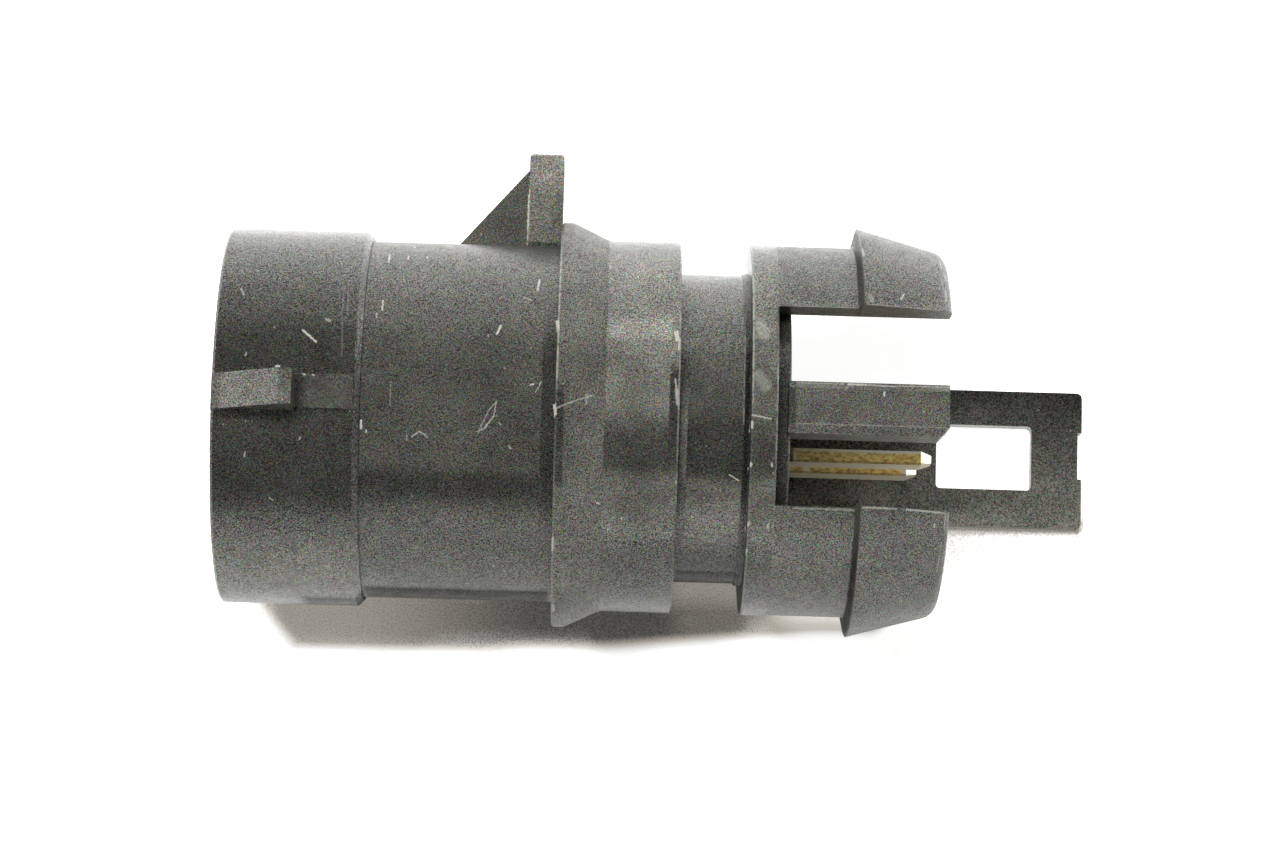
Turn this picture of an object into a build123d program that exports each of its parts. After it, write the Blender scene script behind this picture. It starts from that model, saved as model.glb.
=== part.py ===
from build123d import *
import os
from math import cos, radians, sin

# A round electrical connector that passes four wires through the wall of a transmission case.
# Sizes are in millimetres and degrees. X runs along the connector: the harness plug goes in at the
# low end, and the high end reaches into the case. X = 0 is the edge of the flange at the seal groove.
# Z points to the latch ramp and the key bar, and Y to the alignment tab.

# The hole in the case, and what slides into it
case_hole_diameter = 22.2
case_clearance = 0.12
flange_length = 4.24
groove_depth = 1.85
groove_width = 4.05
groove_shoulder_width = 0.39
groove_shoulder_height = 0.12
land_length = 1.53
edge_break = 0.12

# The flared rim that stops against the mouth of the hole
rim_rise = 1.0
rim_land_length = 0.71
rim_cone_length = 2.09
rim_rounding = 0.2
cone_blend = 1.2

# The barrel and its shroud, open for the harness plug
body_relief = 0.45
body_length = 11.08
body_wall = 1.63
shroud_rise = 0.54
shroud_length = 8.38
shroud_wall = 1.52
shroud_edge_chamfer = 0.34
mouth_lead_in = 0.4
mouth_rounding = 0.15
bulkhead_setback = 0.24

# The two keying ribs inside the socket
rib_angle = 45.0
rib_width = 1.5
rib_height = 0.9

# The latch ramp on the shroud, a little off the middle, and the low pad behind it
ramp_width = 2.05
ramp_length = 4.75
ramp_flat = 0.76
ramp_height = 2.9
ramp_offset = -0.25
pad_width = 1.95
pad_height = 0.28
pad_offset = -0.1

# The alignment tab and the gusset that braces it
tab_height = 5.39
tab_thickness = 2.04
tab_width = 4.2
tab_chamfer = 0.15
gusset_length = 4.1
gusset_height = 4.71
gusset_thickness = 1.2

# The core that carries the blades out of the bulkhead
core_relief = 0.2
core_step = 0.82

# The two snap legs and their hooks
leg_relief = 0.03
leg_thickness = 2.17
leg_length = 10.0
leg_slot_width = 11.5
leg_slot_offset = 0.13
leg_far_angle = 117.0
hook_height = 1.16
hook_length = 5.45
hook_catch_slant = 0.25
hook_end_height = -0.27
hook_end_rounding = 0.9

# The key bar between the legs
bar_width = 3.0
bar_height = 2.9
bar_root_depth = 1.6
bar_root_overlap = 0.2
bar_setback = 0.21
bar_chamfer = 0.45
bar_corner_cut = 0.5

# The flat latch arm with its window
arm_width = 8.45
arm_thickness = 1.1
arm_relief = 0.58
arm_length = 19.74
arm_end_rounding = 0.35
window_length = 5.88
window_width = 3.98
window_offset = 0.07
window_end_wall = 3.11
window_rounding = 0.27
end_notch_width = 2.9
end_notch_depth = 0.25
end_notch_offset = 0.3

# The four blade terminals
blade_thickness = 0.8
blade_width = 2.2
blade_pitch_y = 3.78
blade_pitch_z = 5.0
blade_inner_length = 8.55
blade_stagger = 0.45
blade_outer_length = 10.0
blade_tip_length = 0.65
blade_tip_thickness = 0.45
blade_tip_width = 1.2
blade_root_cut = 0.45
anchor_rise = 0.5
anchor_cover = 1.6

# Radii that follow from the fit in the case
spigot_radius = case_hole_diameter / 2 - case_clearance
groove_radius = spigot_radius - groove_depth
rim_radius = spigot_radius + rim_rise
body_radius = spigot_radius - body_relief
shroud_radius = body_radius + shroud_rise
socket_radius = body_radius - body_wall
mouth_radius = shroud_radius - shroud_wall
core_radius = groove_radius - core_relief
leg_radius = spigot_radius - leg_relief
leg_inner_radius = leg_radius - leg_thickness
arm_outer_z = arm_relief - spigot_radius
arm_inner_z = arm_outer_z + arm_thickness

# Stations along the connector
flange_x = -flange_length
rim_edge_x = flange_x - rim_cone_length
rim_x = rim_edge_x - rim_land_length
step_x = rim_x - body_length
mouth_x = step_x - shroud_length
floor_x = flange_x + bulkhead_setback
land_x = groove_width
land_end_x = land_x + land_length
core_x = land_end_x + core_step
leg_end_x = land_end_x + leg_length
arm_end_x = land_end_x + arm_length
root_x = land_end_x - land_length / 2


def corner_of(profile, x, radius):
    """The corner of a half section that lies at a station and a radius."""
    return profile.vertices().sort_by_distance((x, radius, 0))[0]


def turned(profile):
    """A half section, drawn in X and radius, turned about the connector's axis."""
    return revolve(profile, axis=Axis.X)


def block(x_range, y_range, z_range):
    """A rectangular block between the given ends."""
    centre = [(low + high) / 2 for low, high in (x_range, y_range, z_range)]
    size = [high - low for low, high in (x_range, y_range, z_range)]
    return Pos(*centre) * Box(*size)


def barrel():
    """The turned outside of the moulding, from the shroud's mouth to the core's end face."""
    shoulder_x = land_x - groove_shoulder_width
    shoulder_radius = groove_radius + groove_shoulder_height
    outline = Polyline(
        (mouth_x, 0),
        (mouth_x, shroud_radius - mouth_rounding),
        (mouth_x + mouth_rounding, shroud_radius),
        (step_x - shroud_edge_chamfer, shroud_radius),
        (step_x, shroud_radius - shroud_edge_chamfer),
        (step_x, body_radius),
        (rim_x, body_radius),
        (rim_x, rim_radius - edge_break),
        (rim_x + edge_break, rim_radius),
        (rim_edge_x, rim_radius),
        (flange_x, spigot_radius),
        (-edge_break, spigot_radius),
        (0, spigot_radius - edge_break),
        (0, groove_radius),
        (shoulder_x, groove_radius),
        (shoulder_x, shoulder_radius),
        (land_x, shoulder_radius),
        (land_x, spigot_radius - edge_break),
        (land_x + edge_break, spigot_radius),
        (land_end_x - edge_break, spigot_radius),
        (land_end_x, spigot_radius - edge_break),
        (land_end_x, core_radius),
        (core_x - edge_break, core_radius),
        (core_x, core_radius - edge_break),
        (core_x, 0),
        close=True,
    )
    section = make_face(outline)
    section = fillet(corner_of(section, rim_edge_x, rim_radius), rim_rounding)
    section = fillet(corner_of(section, flange_x, spigot_radius), cone_blend)
    return turned(section)


def socket():
    """The space for the harness plug: a wider mouth, then a bore down to the bulkhead."""
    outline = Polyline(
        (mouth_x, 0),
        (mouth_x, mouth_radius + mouth_lead_in),
        (mouth_x + mouth_lead_in, mouth_radius),
        (step_x, mouth_radius),
        (step_x + mouth_radius - socket_radius, socket_radius),
        (floor_x, socket_radius),
        (floor_x, 0),
        close=True,
    )
    return turned(make_face(outline))


def keying_ribs():
    """Two ribs along the inside of the socket that let the plug in one way round only."""
    ribs = []
    for side in (1, -1):
        rib = block(
            (step_x + mouth_radius - socket_radius, floor_x),
            (-rib_width / 2, rib_width / 2),
            (socket_radius - rib_height, socket_radius + body_wall / 2),
        )
        ribs.append(Rot(side * rib_angle, 0, 0) * rib)
    return ribs


def latch_ramp():
    """The wedge that the plug's latch rides over, and the low pad behind it."""
    root_z = shroud_radius - shroud_wall / 2
    top_z = shroud_radius + ramp_height
    back_x = mouth_x + ramp_length
    side = Polyline(
        (mouth_x, 0, root_z),
        (mouth_x, 0, shroud_radius),
        (back_x - ramp_flat, 0, top_z),
        (back_x, 0, top_z),
        (back_x, 0, root_z),
        close=True,
    )
    wedge = extrude(make_face(side), ramp_width / 2, both=True)
    pad = block(
        (back_x - ramp_flat, step_x - shroud_edge_chamfer),
        (pad_offset - pad_width / 2, pad_offset + pad_width / 2),
        (root_z, shroud_radius + pad_height),
    )
    return [Pos(0, ramp_offset, 0) * wedge, pad]


def alignment_tab():
    """The tab that stands against the rim, with the gusset that braces it."""
    root_y = body_radius - body_wall / 2
    face_x = rim_x - tab_thickness
    tab = block((face_x, rim_x), (root_y, body_radius + tab_height), (-tab_width / 2, tab_width / 2))
    tab = chamfer(tab.edges().group_by(Axis.Y)[-1], tab_chamfer)
    brace = Polyline(
        (face_x - gusset_length, root_y),
        (face_x - gusset_length, body_radius),
        (face_x, body_radius + gusset_height),
        (face_x, root_y),
        close=True,
    )
    gusset = extrude(make_face(brace), gusset_thickness / 2, both=True)
    return [tab, gusset]


def snap_legs():
    """Two curved legs that spring inward, with hooks that catch behind the wall of the case."""
    hook_x = leg_end_x - hook_length
    end_radius = leg_radius + hook_end_height
    outline = Polyline(
        (root_x, leg_inner_radius),
        (root_x, leg_radius),
        (hook_x, leg_radius),
        (hook_x + hook_catch_slant, leg_radius + hook_height),
        (leg_end_x, end_radius),
        (leg_end_x, leg_inner_radius),
        close=True,
    )
    section = make_face(outline)
    section = fillet(corner_of(section, leg_end_x, end_radius), hook_end_rounding)
    ring = turned(section)

    far_angle = radians(leg_far_angle)
    reach = 4 * rim_radius
    legs = []
    for side in (1, -1):
        slot_edge = leg_slot_width / 2 + side * leg_slot_offset
        far_y = side * reach * sin(far_angle)
        sector_outline = Polyline(
            (0, side * slot_edge, reach),
            (0, side * slot_edge, slot_edge * cos(far_angle) / sin(far_angle)),
            (0, far_y, reach * cos(far_angle)),
            (0, far_y, reach),
            close=True,
        )
        legs.append(ring & extrude(make_face(sector_outline), leg_end_x + reach, dir=(1, 0, 0)))
    return legs


def key_bar():
    """The straight bar on the core that guides the inner plug."""
    low_z = core_radius - bar_root_depth
    high_z = low_z + bar_height
    half = bar_width / 2
    bar = block((root_x, leg_end_x - bar_setback), (-half, half), (low_z, high_z))
    long_edges = bar.edges().filter_by(Axis.X).group_by(Axis.Z)[-1]
    bar = chamfer(long_edges, bar_chamfer)
    free_corner = bar.edges().filter_by(Axis.Z).group_by(Axis.X)[-1].sort_by(Axis.Y)[0]
    bar = chamfer(free_corner, bar_corner_cut)
    start_x = core_x - bar_root_overlap
    clear_of_land = block((root_x, start_x), (-half, half), (core_radius - edge_break, high_z))
    return bar - clear_of_land


def latch_arm():
    """The long flat arm with the window that the inner plug's catch snaps into."""
    half = arm_width / 2
    window_end = arm_end_x - window_end_wall
    arm = block((root_x, arm_end_x), (-half, half), (arm_outer_z, arm_inner_z))
    arm = fillet(arm.edges().filter_by(Axis.Z).group_by(Axis.X)[-1], arm_end_rounding)
    window = block(
        (window_end - window_length, window_end),
        (window_offset - window_width / 2, window_offset + window_width / 2),
        (arm_outer_z - arm_thickness, arm_inner_z + arm_thickness),
    )
    window = fillet(window.edges().filter_by(Axis.Z), window_rounding)
    notch = block(
        (arm_end_x - end_notch_depth, arm_end_x + end_notch_depth),
        (end_notch_offset - end_notch_width / 2, end_notch_offset + end_notch_width / 2),
        (arm_outer_z - arm_thickness, arm_inner_z + arm_thickness),
    )
    within_hole = Pos((root_x + arm_end_x) / 2, 0, 0) * Rot(0, 90, 0)
    within_hole = within_hole * Cylinder(leg_radius, arm_end_x - root_x)
    return (arm - window - notch) & within_hole


def terminal(y, z, inner_tip_x):
    """A flat blade from the socket, through the bulkhead, to a tip between the snap legs."""
    outer_tip_x = floor_x - blade_outer_length
    half_thickness = blade_thickness / 2
    half_width = blade_width / 2
    blade = block(
        (outer_tip_x + blade_tip_length, inner_tip_x - blade_tip_length),
        (-half_thickness, half_thickness),
        (-half_width, half_width),
    )
    wide = Rectangle(blade_thickness, blade_width)
    narrow = Rectangle(blade_tip_thickness, blade_tip_width)
    for end_x, side in ((inner_tip_x, 1), (outer_tip_x, -1)):
        start = Plane(origin=(end_x - side * blade_tip_length, 0, 0), x_dir=(0, 1, 0), z_dir=(side, 0, 0))
        blade += loft([start * wide, start.offset(blade_tip_length) * narrow])
    for root, side in ((core_x, 1), (floor_x, -1)):
        for edge in (1, -1):
            corner = Polyline(
                (root - side * anchor_cover, 0, edge * half_width),
                (root - side * anchor_cover, 0, edge * (half_width - blade_root_cut)),
                (root, 0, edge * (half_width - blade_root_cut)),
                (root + side * blade_root_cut, 0, edge * half_width),
                close=True,
            )
            blade -= extrude(make_face(corner), blade_thickness, both=True)
    anchor = block(
        (floor_x + anchor_cover, core_x - anchor_cover),
        (-half_thickness, half_thickness),
        (-half_width - anchor_rise, half_width + anchor_rise),
    )
    return Pos(0, y, z) * (blade + anchor)


def terminals():
    """The four blades by name. The far pair stops a little short of the near pair."""
    full_tip_x = core_x + blade_inner_length
    places = {
        "terminal_a": (1, 1, full_tip_x),
        "terminal_b": (-1, 1, full_tip_x),
        "terminal_c": (1, -1, full_tip_x - blade_stagger),
        "terminal_d": (-1, -1, full_tip_x - blade_stagger),
    }
    return {
        name: terminal(row * blade_pitch_y / 2, level * blade_pitch_z / 2, tip_x)
        for name, (row, level, tip_x) in places.items()
    }


def housing(blades):
    """The one-piece moulding, formed around the blades."""
    moulding = barrel() - socket()
    for feature in keying_ribs() + latch_ramp() + alignment_tab() + snap_legs():
        moulding += feature
    moulding += key_bar()
    moulding += latch_arm()
    for blade in blades:
        moulding -= blade
    return moulding


pieces = terminals()
pieces["housing"] = housing(pieces.values())

os.makedirs("parts", exist_ok=True)
for node, piece in pieces.items():
    export_step(piece, f"parts/{node}.step")
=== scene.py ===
import math

import bpy
from mathutils import Matrix, Vector


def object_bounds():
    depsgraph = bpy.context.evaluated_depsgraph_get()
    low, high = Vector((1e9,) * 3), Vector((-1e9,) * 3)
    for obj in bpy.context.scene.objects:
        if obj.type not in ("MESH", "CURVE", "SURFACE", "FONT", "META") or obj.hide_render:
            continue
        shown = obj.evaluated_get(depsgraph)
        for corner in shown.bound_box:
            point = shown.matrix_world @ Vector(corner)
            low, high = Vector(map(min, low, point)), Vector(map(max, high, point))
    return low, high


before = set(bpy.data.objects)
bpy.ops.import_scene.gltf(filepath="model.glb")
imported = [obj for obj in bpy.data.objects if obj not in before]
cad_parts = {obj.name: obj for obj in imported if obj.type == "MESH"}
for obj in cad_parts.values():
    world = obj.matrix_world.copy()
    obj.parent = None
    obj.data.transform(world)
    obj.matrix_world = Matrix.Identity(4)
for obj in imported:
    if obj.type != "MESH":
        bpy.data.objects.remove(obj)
cad_low, cad_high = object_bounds()

MM = 0.001
WHITE = (1, 1, 1, 1)
# A pair of numbers below, for a place or a level, is where a soft change starts and where it ends.

# The photograph's width, and how the connector lies in its frame
PHOTO_WIDTH = 1280
FOCAL_PX = 3850
SENSOR_WIDTH = 36.0
CAMERA_CLIP = (0.01, 20)
CAMERA_DISTANCE = 228.5 * MM
CAMERA_ELEVATION = math.radians(81.8)
CAMERA_ROLL = math.radians(1.55)
CAMERA_STANDS_AT_X = -4.48 * MM
LOOKS_AT = Vector((-2.11, 0.03, 0.0)) * MM

# Stations along the connector, in millimetres: the edges between its differently worn surfaces
STEP_X = -18.12
RIM_X = -7.04
FLANGE_X = -4.24
GROOVE_X = 0.0
LAND_X = 4.05
LAND_END_X = 5.58
CORE_X = 6.40
STATION_SOFT = 0.05

# Where the connector touches the floor: the flared rim and the end of the latch arm
RIM_FOOT = Vector((-6.7 * MM, 0.0, cad_low[2]))
ARM_FOOT = Vector((cad_high[0], 0.0, -10.40 * MM))
FLOOR_HALF_SIZE = 1.5

# The floor looks lit to white, and keeps the shadow in a strip along the side turned to the camera; that
# strip's outline, its paler places and its warm tint are painted in the floor's glow
FLOOR_PAINT = (0.50, 0.50, 0.49, 1)
FLOOR_GRAIN = (1.0, 1.0, 0.99, 1)
FLOOR_GLOW = 0.9
# The noise of its grain: patches for each metre, and detail
FLOOR_NOISE = (11000.0, 1.0)
SHADOW_INNER_Y = (-4.2 * MM, -2.6 * MM)
SHADOW_OUTER_Y = (-11.8 * MM, -13.1 * MM)
SHADOW_OUTER_Y_AT_ARM = (-8.2 * MM, -9.8 * MM)
SHADOW_NARROWS_X = (12.5 * MM, 16.5 * MM)
# Where its outer edge comes closer to the connector, in millimetres: from x, to x, by how much
SHADOW_NARROWINGS = ((-12.0, -8.0, 0.3), (-5.0, 5.0, 0.85), (4.0, 10.0, 0.6), (17.0, 26.0, 1.8))
# Its slanted end, at the mouth of the shroud
SHADOW_STARTS = (-22.2 * MM, -24.6 * MM)
SHADOW_STARTS_Y = -11.98 * MM
SHADOW_START_SLANT = 0.9
# Where painted light in the glow makes it paler: beside the hook, along the shroud, past the flange, and
# close to the connector
SHADOW_FADES_X = (3.0 * MM, 9.0 * MM)
SHADOW_RETURNS_X = (17.0 * MM, 14.5 * MM)
SHADOW_FADED_GLOW = 0.50
SHADOW_PALER_X = (-6.5 * MM, -21.0 * MM)
SHADOW_PALER_GLOW = 0.25
SHADOW_GREY_X = (-0.5 * MM, 1.5 * MM)
SHADOW_GREY_GLOW = 0.08
SHADOW_LEAK_Y = (-10.8 * MM, -8.3 * MM)
SHADOW_LEAK_GLOW = 0.22
SHADOW_NO_LEAK_X = -5.5 * MM
SHADOW_NO_LEAK_HALF = (4.5 * MM, 6.5 * MM)
SHADOW_TINT = (1.0, 0.93, 0.80, 1)
SHADOW_TINT_LEVELS = (0.3, 0.8)
# How bright shiny surfaces mirror it: on the far side, and on the near side of the shroud and the rest
FLOOR_MIRRORED = 1.4
FLOOR_MIRRORED_NEAR = (0.60, 0.27)
FLOOR_MIRRORED_NEAR_X = (STEP_X * MM, (STEP_X + 1) * MM)

# What the room gives: plain light from all sides, and what shiny surfaces mirror of it
WORLD_DIFFUSE = 0.155
WORLD_TINT = (1.0, 0.96, 0.86, 1)
ROOM_DARK = 0.30
ROOM_MIDDLE_Y = (-0.12, 0.12)
NEAR_SIDE_BRIGHT = 2.4
NEAR_SIDE_EDGE = (0.42, 0.30)
FAR_SIDE_BRIGHT = 3.0
FAR_SIDE_EDGE = (0.80, 0.08)
FAR_SIDE_FALL = 2.0
# The two windows that it mirrors, as directions: from, to, softness
WINDOW_LEVEL = 5.0
WINDOW_HEIGHT = (0.42, 0.58, 0.06)
WINDOW_X = (0.0, 0.25, 0.03)
LEFT_WINDOW_LEVEL = 3.0
LEFT_WINDOW_X = (-0.72, -0.38, 0.08)
LEFT_WINDOW_Y = (-0.45, 0.15, 0.08)
LEFT_WINDOW_LOW = (0.4, 0.6)

# The key lamp, wide along the connector, that shines from above and a little from the left
KEY_FROM = (-0.15, 0.20, 1.0)
KEY_DISTANCE = 0.6
KEY_SIZE = (0.30, 0.06)
KEY_POWER = 5.2

# Noise fields: patches for each millimetre, detail, and how much the detail counts
CLOUD_NOISE = (0.35, 4.0, 0.6)
GRAIN_NOISE = (13.5, 0.0)
SPECKLE_NOISE = (14.0, 0.0)
DUST_NOISE = (4.0, 0.0)
MATT_NOISE = (1.2, 3.0)
BUMP_NOISE = (8.0, 2.0, 0.6)
SHAKE_NOISE = (9.0, 1.0)
BROKEN_NOISE = (2.2, 2.0)
MOTTLE_NOISE = (5.0, 4.0, 0.65)
GOLD_MATT_NOISE = (5.0, 2.0)
# The part of its range that noise mostly keeps to
NOISE_SPREAD = (0.3, 0.7)


class Tree:
    """Short calls that add nodes to one node tree."""

    def __init__(self, tree):
        self.tree = tree

    def node(self, kind, inputs=(), **settings):
        """A node with its settings, and its inputs set to numbers or joined to sockets."""
        made = self.tree.nodes.new(kind)
        for key, value in settings.items():
            setattr(made, key, value)
        for name, value in dict(inputs).items():
            if isinstance(value, bpy.types.NodeSocket):
                self.tree.links.new(value, made.inputs[name])
            else:
                made.inputs[name].default_value = value
        return made

    def math(self, operation, *values):
        """The result of a math node on numbers or sockets."""
        return self.node("ShaderNodeMath", enumerate(values), operation=operation).outputs[0]

    def times(self, value, *others):
        """The product of numbers or sockets."""
        for other in others:
            value = self.math("MULTIPLY", value, other)
        return value

    def largest(self, value, *others):
        """The largest of numbers or sockets."""
        for other in others:
            value = self.math("MAXIMUM", value, other)
        return value

    def vector(self, operation, *values):
        """The result of a vector math node on vectors or sockets."""
        made = self.node("ShaderNodeVectorMath", enumerate(values), operation=operation)
        return made.outputs["Value"] if operation in ("DOT_PRODUCT", "LENGTH") else made.outputs[0]

    def scaled(self, vector, scale):
        """A vector made longer by a number or a socket."""
        inputs = {0: vector, "Scale": scale}
        return self.node("ShaderNodeVectorMath", inputs, operation="SCALE").outputs[0]

    def smooth(self, value, start, end, low=0.0, high=1.0, kind="SMOOTHSTEP"):
        """A soft step from low to high as the value goes from start to end."""
        inputs = {"Value": value, "From Min": start, "From Max": end, "To Min": low, "To Max": high}
        return self.node("ShaderNodeMapRange", inputs, interpolation_type=kind).outputs[0]

    def straight(self, value, start, end, low=0.0, high=1.0):
        """An even change from low to high as the value goes from start to end."""
        return self.smooth(value, start, end, low, high, "LINEAR")

    def mix(self, factor, a, b):
        """A number between a and b."""
        return self.node("ShaderNodeMix", {0: factor, 2: a, 3: b}, data_type="FLOAT").outputs[0]

    def mix_color(self, factor, a, b):
        """A colour between a and b."""
        return self.node("ShaderNodeMix", {0: factor, 6: a, 7: b}, data_type="RGBA").outputs[2]

    def grey(self, value):
        """A grey colour as light as the value."""
        return self.node("ShaderNodeCombineXYZ", {0: value, 1: value, 2: value}).outputs[0]

    def axes(self, vector):
        """The x, y and z of a vector."""
        return self.node("ShaderNodeSeparateXYZ", {0: vector}).outputs

    def noise_node(self, point, scale, detail, roughness=0.5):
        """A noise node of the given field."""
        inputs = {"Vector": point, "Scale": scale, "Detail": detail, "Roughness": roughness}
        return self.node("ShaderNodeTexNoise", inputs)

    def noise(self, point, field):
        """A field of grey noise."""
        return self.noise_node(point, *field).outputs[0]

    def color_noise(self, point, field):
        """A field of noise that differs in its three colours."""
        return self.noise_node(point, *field).outputs["Color"]

    def band(self, value, low, high, soft):
        """One between low and high, and zero outside."""
        rise = self.smooth(value, low - soft, low + soft)
        fall = self.smooth(value, high + soft, high - soft)
        return self.math("MULTIPLY", rise, fall)

    def coordinates(self, name):
        """One set of the surface's own coordinates."""
        return self.node("ShaderNodeTexCoord").outputs[name]

    def point_mm(self):
        """The place on the connector, in millimetres."""
        return self.scaled(self.coordinates("Object"), 1 / MM)

    def faces(self, axis):
        """How far the surface faces along one axis of the connector."""
        return self.axes(self.coordinates("Normal"))[axis]


def new_material(name):
    """A material with an empty node tree, and the calls that fill it."""
    material = bpy.data.materials.new(name)
    material.use_nodes = True
    material.node_tree.nodes.clear()
    return material, Tree(material.node_tree)


def make_camera():
    """The camera, where the photograph was taken from."""
    data = bpy.data.cameras.new("camera")
    data.sensor_width = SENSOR_WIDTH
    data.lens = FOCAL_PX * SENSOR_WIDTH / PHOTO_WIDTH
    data.clip_start, data.clip_end = CAMERA_CLIP
    camera = bpy.data.objects.new("camera", data)
    bpy.context.scene.collection.objects.link(camera)
    back = Vector((0, -math.cos(CAMERA_ELEVATION), math.sin(CAMERA_ELEVATION)))
    place = LOOKS_AT + back * CAMERA_DISTANCE
    place.x = CAMERA_STANDS_AT_X
    forward = (LOOKS_AT - place).normalized()
    up = Vector((-math.tan(CAMERA_ROLL), 1, 0))
    right = forward.cross(up).normalized()
    up = right.cross(forward)
    turn = Matrix((right, up, -forward)).transposed()
    camera.matrix_world = Matrix.Translation(place) @ turn.to_4x4()
    bpy.context.scene.camera = camera


def past_the_shadow(t, x, y):
    """Zero in the shadow beside the connector, more where it is paler, and one where the floor is white."""
    near_arm = t.smooth(x, *SHADOW_NARROWS_X)
    outer = [t.mix(near_arm, *ends) for ends in zip(SHADOW_OUTER_Y, SHADOW_OUTER_Y_AT_ARM)]
    narrowed = y
    for start, end, by in SHADOW_NARROWINGS:
        narrowed = t.math("SUBTRACT", narrowed, t.smooth(x, start * MM, end * MM, 0.0, by * MM))
    slanted = t.math("MULTIPLY_ADD", t.math("SUBTRACT", y, SHADOW_STARTS_Y), SHADOW_START_SLANT, x)
    faded = t.times(t.smooth(x, *SHADOW_FADES_X), t.smooth(x, *SHADOW_RETURNS_X), SHADOW_FADED_GLOW)
    from_rim = t.math("ABSOLUTE", t.math("SUBTRACT", x, SHADOW_NO_LEAK_X))
    leak = t.times(t.smooth(y, *SHADOW_LEAK_Y), t.smooth(from_rim, *SHADOW_NO_LEAK_HALF), SHADOW_LEAK_GLOW)
    return t.largest(
        t.smooth(y, *SHADOW_INNER_Y),
        t.smooth(narrowed, *outer),
        t.smooth(slanted, *SHADOW_STARTS),
        faded,
        t.smooth(x, *SHADOW_PALER_X, 0.0, SHADOW_PALER_GLOW),
        t.smooth(x, *SHADOW_GREY_X, 0.0, SHADOW_GREY_GLOW),
        leak,
    )


def floor_material():
    """White to the camera but for the shadow, pale and grainy where light falls on it."""
    material, t = new_material("floor")
    path = t.node("ShaderNodeLightPath").outputs
    place = t.coordinates("Object")
    x, y = t.axes(place)[:2]
    past_shadow = past_the_shadow(t, x, y)
    seen = t.math("MULTIPLY", path["Is Camera Ray"], FLOOR_GLOW)
    near_level = t.smooth(x, *FLOOR_MIRRORED_NEAR_X, *FLOOR_MIRRORED_NEAR)
    to_mirror = t.mix(t.smooth(y, *SHADOW_INNER_Y), near_level, FLOOR_MIRRORED)
    level = t.math("MULTIPLY_ADD", path["Is Glossy Ray"], to_mirror, seen)
    tint = t.mix_color(t.smooth(past_shadow, *SHADOW_TINT_LEVELS), SHADOW_TINT, WHITE)
    glow = t.node("ShaderNodeEmission", {"Color": tint, "Strength": t.math("MULTIPLY", past_shadow, level)})
    grain = t.smooth(t.noise(place, FLOOR_NOISE), *NOISE_SPREAD)
    diffuse = t.node("ShaderNodeBsdfDiffuse", {"Color": t.mix_color(grain, FLOOR_PAINT, FLOOR_GRAIN)})
    both = t.node("ShaderNodeAddShader", {0: diffuse.outputs[0], 1: glow.outputs[0]})
    t.node("ShaderNodeOutputMaterial", {"Surface": both.outputs[0]})
    return material


def make_floor():
    """A plain floor through the connector's two feet."""
    along = (ARM_FOOT - RIM_FOOT).normalized() * FLOOR_HALF_SIZE
    across = Vector((0, FLOOR_HALF_SIZE, 0))
    mesh = bpy.data.meshes.new("floor")
    corners = [RIM_FOOT + along * u + across * v for u, v in ((-1, -1), (1, -1), (1, 1), (-1, 1))]
    mesh.from_pydata(corners, [], [(0, 1, 2, 3)])
    mesh.materials.append(floor_material())
    floor = bpy.data.objects.new("floor", mesh)
    bpy.context.scene.collection.objects.link(floor)


def mirrored_room(t):
    """How bright the room is to a shiny surface: its walls, darker low down, and two windows."""
    x, y, height = t.axes(t.coordinates("Generated"))
    near = t.smooth(height, *NEAR_SIDE_EDGE)
    far = t.math("POWER", t.straight(height, *FAR_SIDE_EDGE), FAR_SIDE_FALL)
    side = t.smooth(y, *ROOM_MIDDLE_Y)
    near_wall = t.mix(near, ROOM_DARK, NEAR_SIDE_BRIGHT)
    far_wall = t.mix(far, ROOM_DARK, FAR_SIDE_BRIGHT)
    walls = t.mix(side, near_wall, far_wall)
    window = t.times(t.band(height, *WINDOW_HEIGHT), t.band(x, *WINDOW_X), side, WINDOW_LEVEL)
    left_window = t.times(
        t.band(x, *LEFT_WINDOW_X),
        t.band(y, *LEFT_WINDOW_Y),
        t.smooth(height, *LEFT_WINDOW_LOW),
        LEFT_WINDOW_LEVEL,
    )
    return t.math("ADD", walls, t.math("ADD", window, left_window))


def make_world():
    """White to the camera, plain light on matt surfaces, and a room for shiny ones to mirror."""
    world = bpy.data.worlds.new("world")
    bpy.context.scene.world = world
    world.use_nodes = True
    world.node_tree.nodes.clear()
    t = Tree(world.node_tree)
    path = t.node("ShaderNodeLightPath").outputs
    mirrored = t.node("ShaderNodeBackground", {"Strength": mirrored_room(t)}).outputs[0]
    ambient = t.node("ShaderNodeBackground", {"Color": WORLD_TINT, "Strength": WORLD_DIFFUSE}).outputs[0]
    seen = t.node("ShaderNodeBackground", {"Color": WHITE, "Strength": 1.0}).outputs[0]
    lighting = t.node("ShaderNodeMixShader", {0: path["Is Glossy Ray"], 1: ambient, 2: mirrored}).outputs[0]
    view = t.node("ShaderNodeMixShader", {0: path["Is Camera Ray"], 1: lighting, 2: seen}).outputs[0]
    t.node("ShaderNodeOutputWorld", {"Surface": view})


def make_key_lamp():
    """A wide soft lamp. Shiny surfaces mirror the room and not the lamp."""
    data = bpy.data.lights.new("key", "AREA")
    data.shape = "RECTANGLE"
    data.size, data.size_y = KEY_SIZE
    data.energy = KEY_POWER
    lamp = bpy.data.objects.new("key", data)
    bpy.context.scene.collection.objects.link(lamp)
    direction = Vector(KEY_FROM).normalized()
    lamp.location = LOOKS_AT + direction * KEY_DISTANCE
    lamp.rotation_mode = "QUATERNION"
    lamp.rotation_quaternion = (-direction).to_track_quat("-Z", "Y")
    lamp.visible_glossy = False
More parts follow.
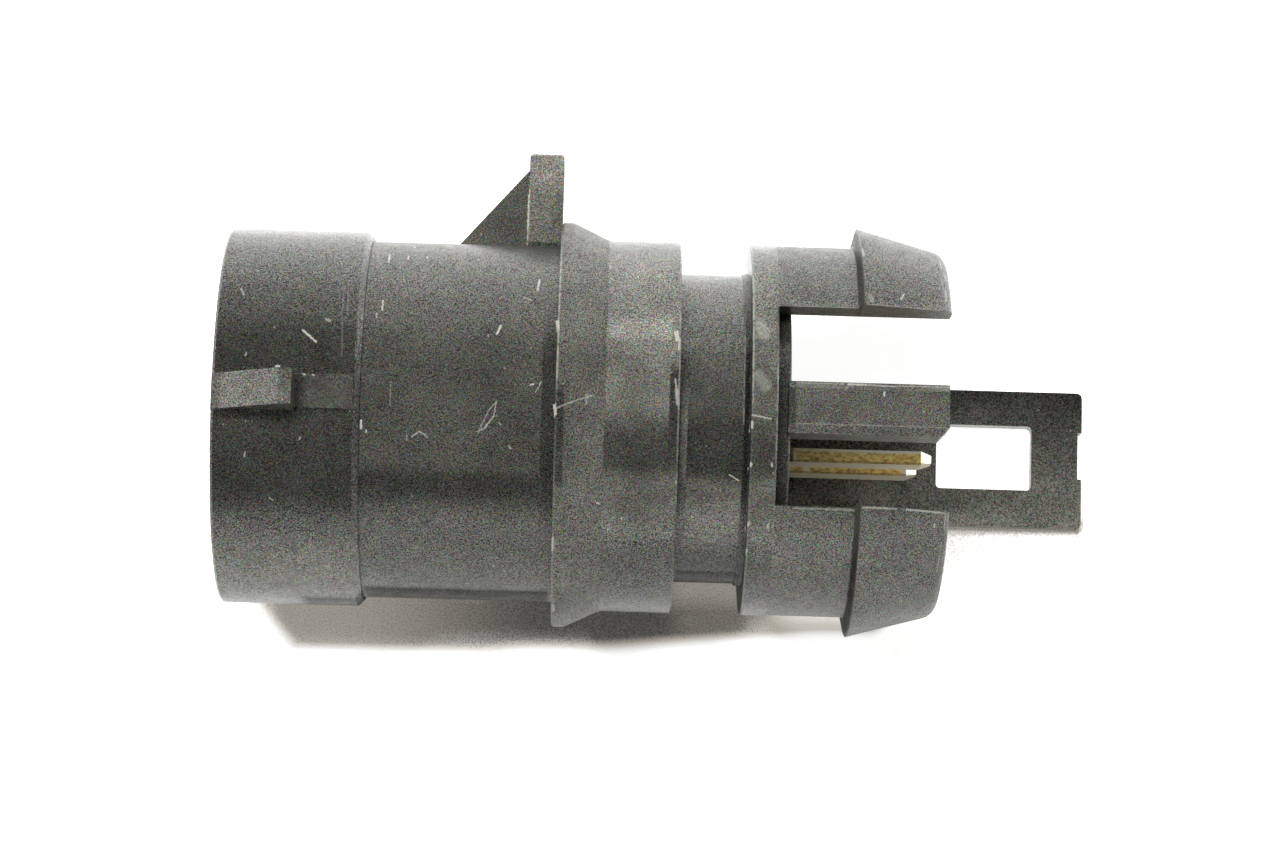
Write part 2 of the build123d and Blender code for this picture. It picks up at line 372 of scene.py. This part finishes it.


# Marks left by use on the upper side, two of them on the land with a painted highlight in them as well, in
# millimetres: from x, y, to x, y, then the width and how pale
SHROUD_MARKS = (
    (-20.2, 4.2, -20.0, 4.1, 0.13, 0.45),
    (-25.2, 6.0, -25.0, 5.6, 0.08, 0.4),
    (-24.5, -3.6, -24.5, -3.8, 0.07, 0.5),
    (-21.5, 3.5, -20.7, 2.8, 0.09, 0.8),
    (-21.4, -2.8, -21.4, -2.7, 0.06, 0.5),
    (-23.1, -6.0, -22.9, -6.1, 0.06, 0.5),
    (-19.4, 6.7, -19.2, 2.0, 0.05, 0.15),
    (-19.1, 6.1, -19.0, 4.5, 0.05, 0.15),
    (-26.3, 10.5, -25.9, 10.4, 0.14, 0.3),
)
PAD_MARKS = (
    (-22.9, 1.3, -22.7, 1.3, 0.07, 1.0),
    (-21.4, 0.9, -21.2, 0.8, 0.07, 0.8),
    (-20.8, 0.8, -20.7, 0.8, 0.06, 0.7),
)
BODY_MARKS = (
    (-17.1, 5.6, -17.1, 5.0, 0.07, 0.8),
    (-17.4, 4.8, -17.4, 4.5, 0.06, 0.7),
    (-17.0, 8.9, -17.0, 8.3, 0.07, 0.9),
    (-15.9, 8.8, -15.9, 8.6, 0.07, 0.8),
    (-14.8, 8.8, -14.8, 8.7, 0.06, 0.7),
    (-15.7, 9.7, -15.6, 9.6, 0.06, 0.6),
    (-8.2, 7.3, -8.3, 6.6, 0.08, 0.9),
    (-8.6, 5.9, -9.1, 6.1, 0.05, 0.5),
    (-10.5, 3.7, -10.3, 4.2, 0.08, 0.9),
    (-11.0, 3.5, -11.0, 3.6, 0.05, 0.5),
    (-8.5, 0.7, -8.3, 0.8, 0.06, 0.8),
    (-7.9, 0.9, -8.2, 0.3, 0.04, 0.6),
    (-16.4, 0.5, -16.4, -0.7, 0.04, 0.3),
    (-15.1, -2.4, -14.7, -2.1, 0.05, 0.6),
    (-14.7, -2.1, -14.2, -2.4, 0.05, 0.6),
    (-15.4, -2.3, -15.4, -2.6, 0.04, 0.4),
    (-10.4, -0.3, -10.5, -1.1, 0.05, 0.5),
    (-10.5, -1.1, -11.0, -1.8, 0.06, 0.6),
    (-11.0, -1.8, -11.4, -2.0, 0.05, 0.5),
    (-10.4, -0.3, -10.8, -0.8, 0.04, 0.4),
    (-10.8, -0.8, -11.3, -1.9, 0.04, 0.4),
    (-10.2, -1.5, -10.1, -1.6, 0.07, 0.4),
    (-18.0, -1.6, -18.0, -2.0, 0.10, 0.9),
    (-17.7, -2.1, -17.7, -2.2, 0.07, 0.7),
)
RIM_MARKS = (
    (-7.1, 4.6, -7.0, 3.9, 0.12, 1.0),
    (-7.1, -0.4, -7.0, -1.1, 0.10, 0.9),
    (-7.0, -0.8, -5.0, 0.1, 0.05, 0.5),
    (-5.3, 0.1, -5.3, -0.4, 0.09, 0.4),
    (-5.3, -0.1, -5.0, 0.1, 0.09, 0.4),
    (-7.0, -7.8, -7.0, -8.4, 0.09, 0.8),
    (-6.9, -11.2, -6.9, -11.4, 0.12, 0.7),
    (-4.5, -5.8, -4.4, -5.8, 0.07, 1.0),
    (-3.1, -6.6, -3.1, -6.5, 0.05, 0.8),
)
FLANGE_MARKS = (
    (-0.3, 4.0, -0.2, 3.6, 0.19, 0.9),
    (-0.1, 3.6, -0.1, 3.0, 0.10, 0.9),
    (-0.3, 1.2, -0.2, 0.6, 0.08, 0.5),
    (-0.2, 0.6, -0.1, -0.2, 0.16, 0.6),
    (-0.1, -4.5, -0.1, -4.6, 0.08, 0.9),
    (0.9, -6.1, 1.0, -6.1, 0.05, 0.5),
    (3.0, -3.8, 3.5, -4.1, 0.05, 0.9),
)
LAND_MARKS = (
    # These two wide soft marks are rub marks with a painted highlight in them
    (4.5, 4.6, 4.7, 4.0, 0.50, 0.26),
    (4.4, 1.6, 4.8, 1.0, 0.50, 0.22),
    (4.1, -0.7, 5.2, -0.9, 0.06, 0.6),
    (4.1, -1.1, 4.1, -1.4, 0.11, 0.9),
    (4.1, -3.4, 4.1, -3.5, 0.11, 0.9),
    (5.3, -3.4, 5.3, -3.5, 0.09, 0.8),
    (4.1, -6.6, 4.1, -6.7, 0.12, 0.8),
    (5.3, -6.6, 5.2, -6.8, 0.07, 0.6),
    (4.1, -8.0, 4.1, -8.2, 0.08, 0.6),
    (4.1, -10.7, 4.1, -10.8, 0.12, 0.8),
)
HOOK_MARKS = (
    (12.5, 6.4, 12.7, 6.8, 0.05, 0.8),
    (10.7, 6.5, 10.8, 6.2, 0.20, 0.25),
    (10.3, 10.0, 10.4, 9.3, 0.16, 0.7),
    (15.1, 9.5, 15.1, 8.9, 0.08, 0.4),
    (15.2, 8.6, 15.3, 8.1, 0.10, 0.35),
    (15.0, 8.2, 15.1, 7.2, 0.04, 0.4),
    (15.2, 7.3, 15.2, 6.6, 0.10, 0.5),
    (14.7, -6.4, 14.7, -6.5, 0.08, 0.8),
    (6.6, -5.75, 10.0, -5.75, 0.06, 0.35),
    (10.5, -5.75, 12.4, -5.7, 0.06, 0.55),
    (13.0, -5.7, 15.2, -5.75, 0.07, 0.65),
    (15.3, -5.8, 15.3, -6.6, 0.06, 0.55),
    (15.2, -7.3, 15.1, -8.8, 0.05, 0.35),
    (6.4, 5.9, 10.2, 5.9, 0.06, 0.25),
    (10.6, 5.9, 14.8, 5.9, 0.06, 0.35),
)
BAR_MARKS = (
    (9.6, 1.38, 10.6, 1.38, 0.09, 0.9),
    (10.6, 1.38, 12.3, 1.3, 0.07, 0.6),
    (9.6, 1.38, 9.4, 1.0, 0.05, 0.5),
    (6.7, 1.38, 9.3, 1.38, 0.05, 0.45),
    (12.4, 1.36, 15.3, 1.36, 0.05, 0.45),
    (11.6, 0.9, 11.6, 0.7, 0.07, 0.9),
    (6.6, -1.0, 15.3, -1.0, 0.04, 0.25),
)
TAB_MARKS = (
    (-9.1, 13.7, -9.1, 11.6, 0.09, 1.0),
    (-9.1, 11.6, -9.1, 10.7, 0.07, 0.7),
)
ALL_MARKS = (
    SHROUD_MARKS + PAD_MARKS + BODY_MARKS + RIM_MARKS + FLANGE_MARKS
    + LAND_MARKS + HOOK_MARKS + BAR_MARKS + TAB_MARKS
)
# How much the marks waver, in millimetres, how wide their pale core is, and where they may show
MARK_SHAKE = (0.14, 0.14, 0.14)
MARK_CORE = 0.35
MARKS_FACE_UP = (0.1, 0.3)
MARKS_LOWEST_Z = (-1.5, -1.0)

# Edges rubbed pale, with a painted highlight along them as well, in millimetres: the edge's x, half the
# line's width, from y, to y, then how pale
RUBBED_AND_HIGHLIT_EDGES = (
    (RIM_X + 0.04, 0.06, 0.6, 9.0, 0.50),
    (GROOVE_X - 0.06, 0.05, -6.0, 5.5, 0.30),
    (LAND_X - 0.36, 0.04, -1.0, 4.6, 0.35),
    (LAND_X + 0.07, 0.06, 0.0, 7.8, 0.40),
    (LAND_END_X - 0.06, 0.04, -8.0, 5.0, 0.20),
)
# How soft those lines are across and at their ends, and how they break up
EDGE_LINE_SOFT = 0.03
EDGE_LINE_END_SOFT = 0.6
EDGE_LINE_BREAKS = (0.35, 0.60)
EDGE_LINE_LEAST = 0.2

MARK_INPUTS = (
    ("Point", "Vector"), ("Start", "Vector"), ("Reach", "Vector"), ("Share", "Vector"),
    ("Edge", "Float"), ("Core", "Float"), ("Pale", "Float"),
)


def mark_group():
    """A node group that says how pale a place is from one short pale line."""
    group = bpy.data.node_groups.new("mark", "ShaderNodeTree")
    for name, kind in MARK_INPUTS:
        group.interface.new_socket(name=name, in_out="INPUT", socket_type=f"NodeSocket{kind}")
    group.interface.new_socket(name="Mask", in_out="OUTPUT", socket_type="NodeSocketFloat")
    t = Tree(group)
    given = t.node("NodeGroupInput").outputs
    offset = t.vector("SUBTRACT", given["Point"], given["Start"])
    share = t.node("ShaderNodeClamp", {0: t.vector("DOT_PRODUCT", offset, given["Share"])}).outputs[0]
    distance = t.vector("LENGTH", t.vector("SUBTRACT", offset, t.scaled(given["Reach"], share)))
    t.node("NodeGroupOutput", {"Mask": t.smooth(distance, given["Edge"], given["Core"], 0.0, given["Pale"])})
    return group


def drawn_marks(t, flat):
    """How pale each place is from the short lines of wear, two of them with a painted highlight, seen from
    above.
    """
    group = mark_group()
    total = 0.0
    for x, y, end_x, end_y, width, pale in ALL_MARKS:
        reach = Vector((end_x - x, end_y - y, 0))
        mark = t.node("ShaderNodeGroup", node_tree=group)
        t.tree.links.new(flat, mark.inputs["Point"])
        settings = {
            "Start": (x, y, 0), "Reach": reach, "Share": reach / reach.length_squared,
            "Edge": width, "Core": width * MARK_CORE, "Pale": pale,
        }
        for name, value in settings.items():
            mark.inputs[name].default_value = value
        total = t.math("MAXIMUM", total, mark.outputs["Mask"])
    return total


def marks_and_edge_highlights(t, point):
    """How pale each place is from the marks of use and the rubbed edges, with the painted highlights along
    the edges and in two marks on the land.
    """
    x, y, z = t.axes(point)
    shake = t.vector("SUBTRACT", t.color_noise(point, SHAKE_NOISE), (0.5, 0.5, 0.5))
    shaken = t.vector("MULTIPLY_ADD", shake, MARK_SHAKE, point)
    total = drawn_marks(t, t.vector("MULTIPLY", shaken, (1.0, 1.0, 0.0)))
    broken = t.smooth(t.noise(point, BROKEN_NOISE), *EDGE_LINE_BREAKS, EDGE_LINE_LEAST, 1.0)
    for edge_x, half_width, low_y, high_y, pale in RUBBED_AND_HIGHLIT_EDGES:
        line = t.band(x, edge_x - half_width, edge_x + half_width, EDGE_LINE_SOFT)
        line = t.times(line, t.band(y, low_y, high_y, EDGE_LINE_END_SOFT), broken, pale)
        total = t.math("MAXIMUM", total, line)
    return t.times(total, t.smooth(t.faces("Z"), *MARKS_FACE_UP), t.smooth(z, *MARKS_LOWEST_Z))


def along_body(t, x, steps):
    """A value that changes at stations along the connector: (from x, value) pairs."""
    level = steps[0][1]
    for start, value in steps[1:]:
        level = t.mix(t.smooth(x, start - STATION_SOFT, start + STATION_SOFT), level, value)
    return level


# How light each stretch of the plastic is, from the shroud to the inner end
PAINT_STEPS = (
    (-30, 0.022), (STEP_X, 0.040), (RIM_X, 0.066), (FLANGE_X, 0.030),
    (GROOVE_X, 0.022), (LAND_X, 0.040), (LAND_END_X, 0.064),
)
# How matt each stretch is
MATT_STEPS = (
    (-30, 0.27), (STEP_X, 0.38), (RIM_X, 0.46), (FLANGE_X, 0.30),
    (GROOVE_X, 0.32), (LAND_X, 0.28), (LAND_END_X, 0.39),
)
# Painted highlights and painted shade on the upper side, lighter or darker than the paint around them where
# light and reflections fall: from x, to x, from y, to y, softness across, paint
PAINTED_LIGHT_PATCHES = (
    (STEP_X, RIM_X, -5.9, -4.3, 0.5, 0.016),
    (RIM_X - 0.8, RIM_X, -7.0, 4.5, 1.5, 0.015),
    (RIM_X + 0.05, RIM_X + 0.5, -5.0, 0.4, 0.4, 0.020),
    (FLANGE_X, GROOVE_X, -1.0, 9.0, 1.4, 0.110),
    (GROOVE_X, LAND_X, -0.5, 9.0, 1.2, 0.048),
    (GROOVE_X + 0.1, GROOVE_X + 0.5, -7.0, 0.5, 1.0, 0.110),
    (LAND_X, LAND_END_X, -1.0, 9.0, 1.2, 0.080),
    (FLANGE_X, LAND_END_X, -7.5, -4.1, 0.5, 0.085),
    (FLANGE_X, GROOVE_X - 0.5, 3.6, 4.9, 0.3, 0.160),
    (GROOVE_X - 0.6, GROOVE_X - 0.1, -3.0, 2.0, 0.6, 0.020),
    (LAND_X - 0.36, LAND_X, -11.0, 11.0, 0.1, 0.004),
    (LAND_END_X + 0.1, CORE_X + 0.2, -5.6, 5.9, 0.1, 0.030),
    (LAND_END_X + 1.0, 15.4, -1.7, -1.4, 0.04, 0.078),
    (LAND_END_X, 15.6, 6.2, 11.0, 0.3, 0.035),
    (-27.5, STEP_X, -10.5, -8.2, 0.7, 0.090),
    (-26.3, -21.9, -1.7, -0.7, 0.2, 0.010),
    (LAND_END_X + 1.0, 15.4, -1.42, -1.08, 0.05, 0.046),
)
# How low they reach
PAINTED_LIGHT_LOWEST_Z = (-4.0, 2.0)
# Dark lines of painted shade low on the near side, where little light comes back from the floor:
# from x, to x, softness along, from z, to z, how dark
LOW_LINES = (
    (-22.0, STEP_X + 0.6, 0.9, 3.1, 1.7, 1.0),
    (STEP_X, RIM_X - 0.05, 0.3, 3.1, 2.3, 1.0),
    (GROOVE_X, LAND_X, 0.2, 5.2, 3.0, 0.65),
    (GROOVE_X, LAND_X, 0.2, 3.3, 2.4, 1.0),
)
# How low the lines reach, and how far out to the side they start
LOW_LINES_END_Z = (-7.0, -1.2)
LOW_LINES_SIDE_Y = (-5.0, -6.0)
# The catch faces of the hooks, dark as well with painted shade, and darker further from the legs' inner
# edges
CATCH_X = (10.12, 10.36, 0.05)
CATCH_STARTS_Y = (5.6, 5.8)
CATCH_DARKENS_Y = (5.6, 9.0)
CATCH_LEAST = 0.5
# The paint and the shine in that painted shade
DARK_LINE_PAINT = 0.013
DARK_LINE_SHINE = 0.05

# The raised parts, in millimetres. The ramp and its pad stand out of the shroud
RAISED_X = (STEP_X - 0.2, STEP_X - 0.3)
RAISED_RADIUS = (11.10, 11.16)
RAMP_RADIUS = (11.4, 11.6)
RAMP_PAINT = 0.085
PAD_PAINT = 0.043
# The pad is darker next to the ramp: the ramp's painted shadow
PAD_RAMP_SHADOW_X = (-21.9, -20.8)
PAD_RAMP_SHADOW = 0.55
# The tab stands behind its gusset, beside the body. Its face is painted lighter than the gusset, most
# towards its tip: painted light
TAB_SIDE_Y = (10.55, 10.6)
TAB_SIDE_X = (STEP_X + 0.1, RIM_X, 0.05)
TAB_FACE_X = (-9.12, -9.06)
TAB_PAINTED_LIGHT_Y = (12.9, 15.4)
TAB_PAINTED_LIGHT_LEAST = 0.27
TAB_PAINT = 0.19
GUSSET_PAINT = 0.055
# The latch arm lies lowest. It is darker at its root, at its end, and along its far side: painted shade at
# its root, under the bar and the blades, and along its far side, which gets less of the room's light
ARM_TOP_Z = (-8.6, -8.8)
ARM_STARTS_X = (CORE_X, CORE_X + 0.1)
ARM_ROOT_X = (9.5, 13.5)
ARM_ROOT_SHADE = 0.3
ARM_END_X = (18.5, 22.0)
ARM_END_LEVEL = 0.75
ARM_FAR_Y = (4.0, -4.2)
ARM_FAR_SHADE = 0.12
ARM_PAINT = 0.150

# The plastic's colour, grain and shine
PLASTIC_TINT = (1.0, 1.0, 0.90)
PLASTIC_SHINE = 0.72
PLASTIC_IOR = 1.5
WORN_AND_HIGHLIGHT_PAINT = (0.42, 0.42, 0.37, 1)
CLOUD_SPREAD = (0.35, 0.65)
CLOUD_LEVELS = (0.8, 1.25)
GRAIN_LEVELS = (0.1, 1.9)
GRAIN_IN_PAINT = 0.6
SPECKLE_GAIN = (2.2, 2.2, 2.08)
SPECKLE_SHIFT = (-0.1, -0.1, -0.09)
DUST_SPREAD = (0.83, 0.87)
DUST_PALE = 0.4
MATT_LEVELS = (0.9, 1.12)
BUMP_STRENGTH = 0.6
BUMP_DEPTH = 0.012 * MM
EDGE_RADIUS = 0.10 * MM
EDGE_SAMPLES = 2

# The blades: where the upper blade's edge faces lie, and how far apart the two pairs are
BLADE_FACE_Y = (-2.29, -1.49)
BLADE_PITCH_Y = 3.78
BLADE_MIDDLE = (-0.1, 0.1)
BLADE_EDGE_RADIUS = 0.05 * MM
# The plating, from the root to the tip, painted darker at the root in the bar's shade and lighter towards
# the tip, where more light reaches it; and its mottling
ROOT_GOLD_IN_SHADE = (0.80, 0.62, 0.24, 1)
TIP_GOLD_IN_LIGHT = (1.0, 0.68, 0.24, 1)
GOLD_TURNS_X = (8.0, 13.0)
MOTTLE_STRETCH = (0.6, 1.0, 1.0)
MOTTLE_LEVELS = (0.45, 1.6)
GOLD_METAL = 0.95
GOLD_MATT_LEVELS = (0.42, 0.58)
# Its pale places: painted highlights along the upper edge and at the root, and a spot on the lower blade,
# which is paler all over
PALE_GOLD = (1.0, 0.96, 0.78, 1)
PALE_EDGE_Y = (BLADE_FACE_Y[1] - 0.22, BLADE_FACE_Y[1] - 0.12)
PALE_EDGE_X = (7.0, 11.0)
PALE_EDGE_LEAST = 0.6
PALE_ROOT_X = (7.3, 6.9)
PALE_ROOT = 0.5
PALE_SPOT_X = (7.7, 8.1, 0.1)
LOWER_BLADE_PALE = 0.10
# The tips, bare and cream coloured: where they start on the lower and on the upper blade
CREAM = (0.95, 0.92, 0.80, 1)
LOWER_TIP_X = (13.4, 13.7)
UPPER_TIP_X = (14.2, 14.5)
# The shaded lower edge, and the cut sides of the strip, the lower blade's painted darker than the upper's as
# painted shade
SHADED_EDGE_Y = (BLADE_FACE_Y[0] + 0.18, BLADE_FACE_Y[0] + 0.08)
SHADED_EDGE = 0.5
SHADED_GOLD = (0.10, 0.08, 0.04, 1)
CUT_SIDE_FACES = (0.6, 0.9)
UPPER_CUT_SIDE = (0.58, 0.51, 0.36, 1)
LOWER_CUT_SIDE = (0.33, 0.30, 0.21, 1)


def paint_with_painted_light(t, x, y, z, paint):
    """The paint with the painted highlights and painted shade worked in."""
    upper = t.smooth(z, *PAINTED_LIGHT_LOWEST_Z)
    for x_from, x_to, y_from, y_to, soft, value in PAINTED_LIGHT_PATCHES:
        across = t.math("MULTIPLY", t.band(y, y_from, y_to, soft), upper)
        paint = t.mix(t.math("MULTIPLY", t.band(x, x_from, x_to, STATION_SOFT), across), paint, value)
    return paint


def ramp_paint(t, point, x, paint):
    """The paint with the latch ramp and its pad worked in, and the ramp's painted shadow on the pad."""
    radius = t.vector("LENGTH", t.vector("MULTIPLY", point, (0.0, 1.0, 1.0)))
    raised = t.math("MULTIPLY", t.smooth(radius, *RAISED_RADIUS), t.smooth(x, *RAISED_X))
    # The pad's paint, with the ramp's painted shadow at its end beside the ramp
    pad_paint = t.smooth(x, *PAD_RAMP_SHADOW_X, PAD_RAMP_SHADOW * PAD_PAINT, PAD_PAINT)
    return t.mix(raised, paint, t.mix(t.smooth(radius, *RAMP_RADIUS), pad_paint, RAMP_PAINT))


def tab_paint(t, x, y, paint):
    """The paint with the alignment tab and its gusset worked in, and painted light on the tab's face."""
    past_body = t.math("MULTIPLY", t.smooth(y, *TAB_SIDE_Y), t.band(x, *TAB_SIDE_X))
    paint = t.mix(past_body, paint, GUSSET_PAINT)
    tab = t.times(past_body, t.smooth(x, *TAB_FACE_X), t.smooth(y, *TAB_PAINTED_LIGHT_Y, TAB_PAINTED_LIGHT_LEAST, 1.0))
    return t.mix(tab, paint, TAB_PAINT)


def arm_paint(t, x, y, z, paint):
    """The paint with the latch arm worked in, and its painted shade."""
    on_arm = t.math("MULTIPLY", t.smooth(z, *ARM_TOP_Z), t.smooth(x, *ARM_STARTS_X))
    level = t.times(
        t.smooth(x, *ARM_ROOT_X, ARM_ROOT_SHADE, 1.0),
        t.smooth(x, *ARM_END_X, 1.0, ARM_END_LEVEL),
        t.straight(y, *ARM_FAR_Y, ARM_FAR_SHADE, 1.0),
        ARM_PAINT,
    )
    return t.mix(on_arm, paint, level)


def painted_shade_lines(t, x, y, z):
    """One along the lines of painted shade low on the near side, and on the catch faces of the hooks."""
    total = 0.0
    for x_from, x_to, soft, z_from, z_to, dark in LOW_LINES:
        line = t.math("MULTIPLY", t.band(x, x_from, x_to, soft), t.smooth(z, z_from, z_to, 0.0, dark))
        total = t.math("MAXIMUM", total, line)
    near_side = t.math("MULTIPLY", t.smooth(y, *LOW_LINES_SIDE_Y), t.smooth(z, *LOW_LINES_END_Z))
    aside = t.math("ABSOLUTE", y)
    catch = t.times(
        t.band(x, *CATCH_X),
        t.smooth(aside, *CATCH_DARKENS_Y, CATCH_LEAST, 1.0),
        t.smooth(aside, *CATCH_STARTS_Y),
    )
    return t.math("MAXIMUM", t.math("MULTIPLY", total, near_side), catch)


def plastic_normal(t, point):
    """The surface with its finest bumps, and its edges a little rounded."""
    bevel = t.node("ShaderNodeBevel", {"Radius": EDGE_RADIUS}, samples=EDGE_SAMPLES)
    return t.node("ShaderNodeBump", {
        "Height": t.noise(point, BUMP_NOISE), "Strength": BUMP_STRENGTH, "Distance": BUMP_DEPTH,
        "Normal": bevel.outputs[0],
    }).outputs[0]


def plastic():
    """Black nylon with a fine grain, dull patches, dust, and the marks of use, with painted highlights and
    painted shade worked into its paint.
    """
    material, t = new_material("housing")
    point = t.point_mm()
    x, y, z = t.axes(point)
    paint = paint_with_painted_light(t, x, y, z, along_body(t, x, PAINT_STEPS))
    paint = ramp_paint(t, point, x, paint)
    paint = tab_paint(t, x, y, paint)
    paint = arm_paint(t, x, y, z, paint)
    # Painted shade low on the near side and on the hooks' catch faces
    dark = painted_shade_lines(t, x, y, z)
    paint = t.mix(dark, paint, DARK_LINE_PAINT)
    clouds = t.smooth(t.noise(point, CLOUD_NOISE), *CLOUD_SPREAD, *CLOUD_LEVELS)
    grain = t.straight(t.noise(point, GRAIN_NOISE), *NOISE_SPREAD, *GRAIN_LEVELS)
    paint = t.times(paint, clouds, t.mix(GRAIN_IN_PAINT, 1.0, grain))
    speckle = t.vector("MULTIPLY_ADD", t.color_noise(point, SPECKLE_NOISE), SPECKLE_GAIN, SPECKLE_SHIFT)
    shade = t.vector("MULTIPLY", t.vector("MULTIPLY", t.grey(paint), PLASTIC_TINT), speckle)
    dust = t.smooth(t.noise(point, DUST_NOISE), *DUST_SPREAD, 0.0, DUST_PALE)
    # Pale marks of use and dust, with painted highlights along some edges and in two marks on the land
    worn = t.math("MAXIMUM", marks_and_edge_highlights(t, point), dust)
    matt = along_body(t, x, MATT_STEPS)
    unevenly = t.smooth(t.noise(point, MATT_NOISE), *NOISE_SPREAD, *MATT_LEVELS)
    shader = t.node("ShaderNodeBsdfPrincipled", {
        "Base Color": t.mix_color(worn, shade, WORN_AND_HIGHLIGHT_PAINT),
        "Roughness": t.math("MULTIPLY", matt, unevenly),
        "IOR": PLASTIC_IOR,
        "Specular IOR Level": t.math("MULTIPLY", grain, t.mix(dark, PLASTIC_SHINE, DARK_LINE_SHINE)),
        "Specular Tint": speckle,
        "Normal": plastic_normal(t, point),
    })
    t.node("ShaderNodeOutputMaterial", {"Surface": shader.outputs[0]})
    return material


def plating(t, point, x, y, upper):
    """The colour of the blades' edge faces."""
    lower = t.math("SUBTRACT", 1.0, upper)
    # Painted darker at the root, in the bar's shade, and lighter towards the tip
    colour = t.mix_color(t.smooth(x, *GOLD_TURNS_X), ROOT_GOLD_IN_SHADE, TIP_GOLD_IN_LIGHT)
    mottle = t.noise(t.vector("MULTIPLY", point, MOTTLE_STRETCH), MOTTLE_NOISE)
    colour = t.vector("MULTIPLY", colour, t.grey(t.smooth(mottle, *NOISE_SPREAD, *MOTTLE_LEVELS)))
    colour = t.mix_color(t.math("MULTIPLY", lower, LOWER_BLADE_PALE), colour, PALE_GOLD)
    # Painted highlights along the upper edge and at the root, and the spot on the lower blade
    pale = t.largest(
        t.math("MULTIPLY", t.smooth(y, *PALE_EDGE_Y), t.smooth(x, *PALE_EDGE_X, PALE_EDGE_LEAST, 1.0)),
        t.smooth(x, *PALE_ROOT_X, 0.0, PALE_ROOT),
        t.math("MULTIPLY", t.band(x, *PALE_SPOT_X), lower),
    )
    colour = t.mix_color(pale, colour, PALE_GOLD)
    tip_x = [t.mix(upper, *ends) for ends in zip(LOWER_TIP_X, UPPER_TIP_X)]
    colour = t.mix_color(t.smooth(x, *tip_x), colour, CREAM)
    return t.mix_color(t.smooth(y, *SHADED_EDGE_Y, 0.0, SHADED_EDGE), colour, SHADED_GOLD)


def gold():
    """Gold coloured plating, painted dull and darker at the root, in the bar's shade, and lighter towards
    the tip, where more light reaches it, worn bare at the tip, with paler cut sides.
    """
    material, t = new_material("terminal")
    point = t.point_mm()
    x, y, z = t.axes(point)
    upper = t.smooth(z, *BLADE_MIDDLE)
    pair_y = t.math("SUBTRACT", y, t.smooth(y, *BLADE_MIDDLE, 0.0, BLADE_PITCH_Y))
    cut_side = t.smooth(t.math("ABSOLUTE", t.faces("Y")), *CUT_SIDE_FACES)
    # The lower blade's cut side is painted darker than the upper's: painted shade
    cut_colour = t.mix_color(upper, LOWER_CUT_SIDE, UPPER_CUT_SIDE)
    bevel = t.node("ShaderNodeBevel", {"Radius": BLADE_EDGE_RADIUS}, samples=EDGE_SAMPLES)
    shader = t.node("ShaderNodeBsdfPrincipled", {
        "Base Color": t.mix_color(cut_side, plating(t, point, x, pair_y, upper), cut_colour),
        "Metallic": GOLD_METAL,
        "Roughness": t.smooth(t.noise(point, GOLD_MATT_NOISE), *NOISE_SPREAD, *GOLD_MATT_LEVELS),
        "Normal": bevel.outputs[0],
    })
    t.node("ShaderNodeOutputMaterial", {"Surface": shader.outputs[0]})
    return material


def dress(name, material):
    """Gives one of the CAD nodes its material."""
    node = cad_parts[name]
    node.data.materials.clear()
    node.data.materials.append(material)


bpy.context.scene.view_settings.view_transform = "Standard"
make_camera()
make_floor()
make_world()
make_key_lamp()
dress("housing", plastic())
plated = gold()
for letter in "abcd":
    dress(f"terminal_{letter}", plated)
